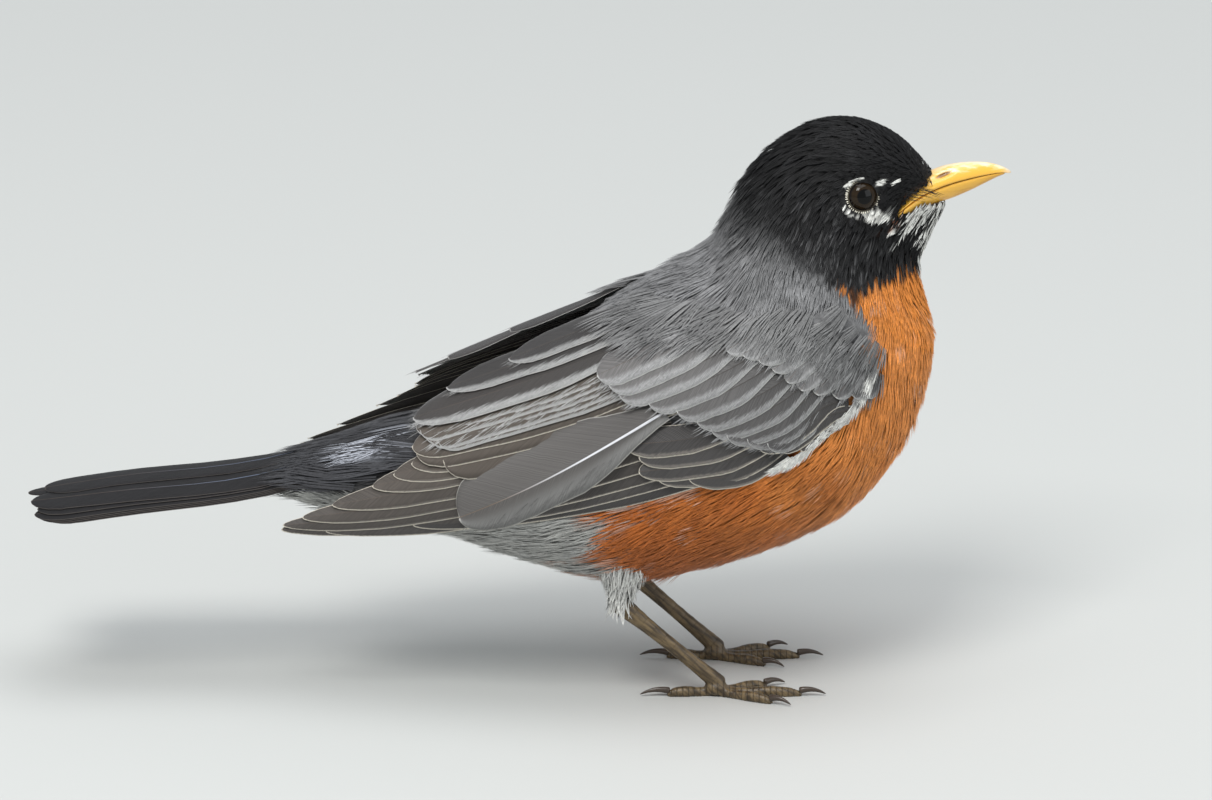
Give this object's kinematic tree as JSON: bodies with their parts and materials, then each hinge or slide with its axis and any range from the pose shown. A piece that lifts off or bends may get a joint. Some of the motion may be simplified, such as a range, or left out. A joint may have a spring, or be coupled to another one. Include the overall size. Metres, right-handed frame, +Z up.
{
  "type": "american robin",
  "caption": "Life-size still model of a standing robin at rest, with folded wings, a long tail, an upright head and feet flat on the floor.",
  "frame": {"origin": "on the floor, under the middle of the bird's length", "axes": "+X toward the bill, +Z up, -Y toward the bird's right side"},
  "size_m": [0.226, 0.0692, 0.1349],
  "materials": {
    "head_black": "soft black feathers with a faint sheen",
    "back_grey": "matt slate-grey feathers",
    "breast_orange": "matt brick-orange feathers",
    "quill_slate": "grey-brown flight feathers with pale edges, faint sheen",
    "tail_dark": "blackish tail feathers, faint sheen",
    "belly_white": "soft off-white down",
    "bill_yellow": "smooth horn, satin yellow",
    "eye_dark": "wet dark-brown eye, high gloss",
    "leg_brown": "scaled skin, satin brown",
    "claw_dark": "dark horn, satin"
  },
  "bodies": {
    "root": {"bill_lower": "bill_yellow", "bill_upper": "bill_yellow", "claw_left_hind": "claw_dark", "claw_left_inner": "claw_dark", "claw_left_middle": "claw_dark", "claw_left_outer": "claw_dark", "claw_right_hind": "claw_dark", "claw_right_inner": "claw_dark", "claw_right_middle": "claw_dark", "claw_right_outer": "claw_dark", "eye_left": "eye_dark", "eye_right": "eye_dark", "foot_left": "leg_brown", "foot_right": "leg_brown", "head": "head_black", "neck": "back_grey", "tail": "tail_dark", "tarsus_left": "leg_brown", "tarsus_right": "leg_brown", "thigh_left": "belly_white", "thigh_right": "belly_white", "trunk": "breast_orange", "wing_left_coverts": "back_grey", "wing_left_primaries": "quill_slate", "wing_left_secondaries": "quill_slate", "wing_right_coverts": "back_grey", "wing_right_primaries": "quill_slate", "wing_right_secondaries": "quill_slate", "wing_right_slipped_quill": "quill_slate"}
  },
  "joints": []
}
